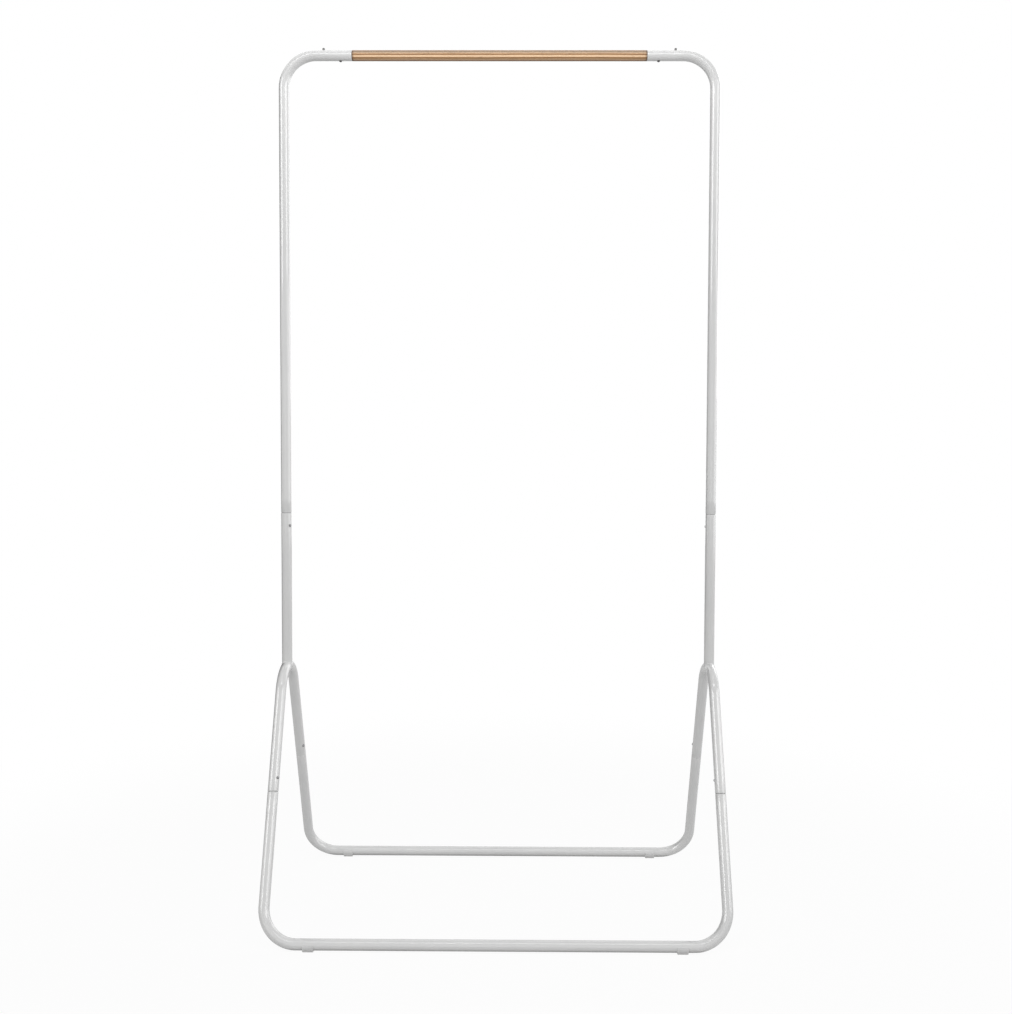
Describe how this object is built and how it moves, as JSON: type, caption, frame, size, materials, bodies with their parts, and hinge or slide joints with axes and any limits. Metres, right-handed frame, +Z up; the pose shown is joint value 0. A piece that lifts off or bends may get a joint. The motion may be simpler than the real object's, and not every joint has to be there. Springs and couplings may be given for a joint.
{
  "type": "clothes rail",
  "caption": "Free-standing clothes rail: bent white steel tube with an A-shaped base and a round wooden hanging bar between its posts.",
  "frame": {"origin": "on the floor, in the middle of the footprint", "axes": "+X to the right along the hanging bar as seen from the front, +Y to the back, +Z up"},
  "size_m": [0.8222, 0.4538, 1.6016],
  "materials": {
    "painted_tube": "satin white powder coat",
    "wood": "oiled, with grain along the bar",
    "foot": "matt moulded plastic",
    "button": "turned steel",
    "stud": "plated steel",
    "spring": "spring steel strip"
  },
  "bodies": {
    "frame": {"rail_dowel": "wood", "upper_tube_left": "painted_tube", "post_left": "painted_tube", "leg_hairpin_left": "painted_tube", "weld_left": "painted_tube", "hanger_stop_left": "stud", "rail_screw_left": "stud", "upper_tube_right": "painted_tube", "post_right": "painted_tube", "leg_hairpin_right": "painted_tube", "weld_right": "painted_tube", "hanger_stop_right": "stud", "rail_screw_right": "stud", "base_front": "painted_tube", "foot_front_left": "foot", "foot_front_right": "foot", "base_rear": "painted_tube", "foot_rear_left": "foot", "foot_rear_right": "foot", "clip_post_left": "spring", "clip_post_right": "spring", "clip_leg_front_left": "spring", "clip_leg_front_right": "spring", "clip_leg_rear_left": "spring", "clip_leg_rear_right": "spring"},
    "snap_post_left": {"button_post_left": "button"},
    "snap_post_right": {"button_post_right": "button"},
    "snap_leg_front_left": {"button_leg_front_left": "button"},
    "snap_leg_front_right": {"button_leg_front_right": "button"},
    "snap_leg_rear_left": {"button_leg_rear_left": "button"},
    "snap_leg_rear_right": {"button_leg_rear_right": "button"}
  },
  "joints": [
    {"name": "press_post_left", "type": "slide", "parent": "frame", "child": "snap_post_left", "axis": [-0.8192, 0.5736, 0], "range_m": [0, 0.0036], "stiffness_N_per_m": 2500, "springref_m": -0.0012, "deforming": ["clip_post_left"]},
    {"name": "press_post_right", "type": "slide", "parent": "frame", "child": "snap_post_right", "axis": [0.8192, -0.5736, 0], "range_m": [0, 0.0036], "stiffness_N_per_m": 2500, "springref_m": -0.0012, "deforming": ["clip_post_right"]},
    {"name": "press_leg_front_left", "type": "slide", "parent": "frame", "child": "snap_leg_front_left", "axis": [-0.8192, 0.5326, -0.213], "range_m": [0, 0.0036], "stiffness_N_per_m": 2500, "springref_m": -0.0012, "deforming": ["clip_leg_front_left"]},
    {"name": "press_leg_front_right", "type": "slide", "parent": "frame", "child": "snap_leg_front_right", "axis": [0.8192, -0.5326, 0.213], "range_m": [0, 0.0036], "stiffness_N_per_m": 2500, "springref_m": -0.0012, "deforming": ["clip_leg_front_right"]},
    {"name": "press_leg_rear_left", "type": "slide", "parent": "frame", "child": "snap_leg_rear_left", "axis": [-0.8192, 0.5326, 0.213], "range_m": [0, 0.0036], "stiffness_N_per_m": 2500, "springref_m": -0.0012, "deforming": ["clip_leg_rear_left"]},
    {"name": "press_leg_rear_right", "type": "slide", "parent": "frame", "child": "snap_leg_rear_right", "axis": [0.8192, -0.5326, -0.213], "range_m": [0, 0.0036], "stiffness_N_per_m": 2500, "springref_m": -0.0012, "deforming": ["clip_leg_rear_right"]}
  ]
}
